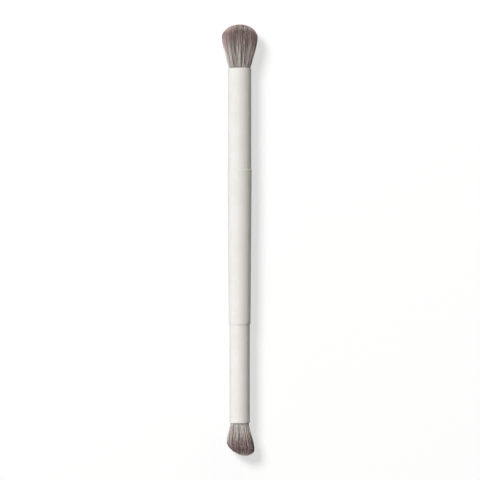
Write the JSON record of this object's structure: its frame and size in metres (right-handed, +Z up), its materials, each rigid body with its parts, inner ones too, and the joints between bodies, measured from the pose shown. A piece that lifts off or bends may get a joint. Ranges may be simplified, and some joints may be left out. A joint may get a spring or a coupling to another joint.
{
  "type": "eyeshadow brush",
  "caption": "Double-ended eyeshadow brush: straight tapered off-white handle, long ferrules, a domed fluffy tuft at the wide end and a slanted tuft at the narrow end.",
  "frame": {"origin": "on the axis of the brush, halfway between the tips of the two tufts", "axes": "+Y along the brush towards the large domed tuft, +X towards the long side of the slanted tuft, +Z up as the brush lies on its side"},
  "size_m": [0.0146, 0.175, 0.012],
  "materials": {
    "handle_lacquer": "matte",
    "ferrule_lacquer": "matte",
    "hair": "satin",
    "hair_root": "matte",
    "resin": "gloss",
    "glue": "satin"
  },
  "bodies": {
    "handle": {"handle_barrel": "handle_lacquer", "large_ferrule": "ferrule_lacquer", "small_ferrule": "ferrule_lacquer", "large_tuft_root": "hair_root", "small_tuft_root": "hair_root", "large_resin_plug": "resin", "small_resin_plug": "resin", "large_tenon_glue": "glue", "small_tenon_glue": "glue"},
    "large_head": {"large_tuft": "hair"},
    "small_head": {"small_tuft": "hair"}
  },
  "joints": [
    {"name": "large_tuft_flex", "type": "hinge", "parent": "handle", "child": "large_head", "pos_m": [0, 0.07, 0], "axis": [0, 0, 1], "range_deg": [-25, 25], "stiffness_Nm_per_rad": 0.006, "deforming": ["large_tuft"]},
    {"name": "small_tuft_flex", "type": "hinge", "parent": "handle", "child": "small_head", "pos_m": [0, -0.0741, 0], "axis": [0, 0, 1], "range_deg": [-25, 25], "stiffness_Nm_per_rad": 0.006, "deforming": ["small_tuft"]}
  ]
}
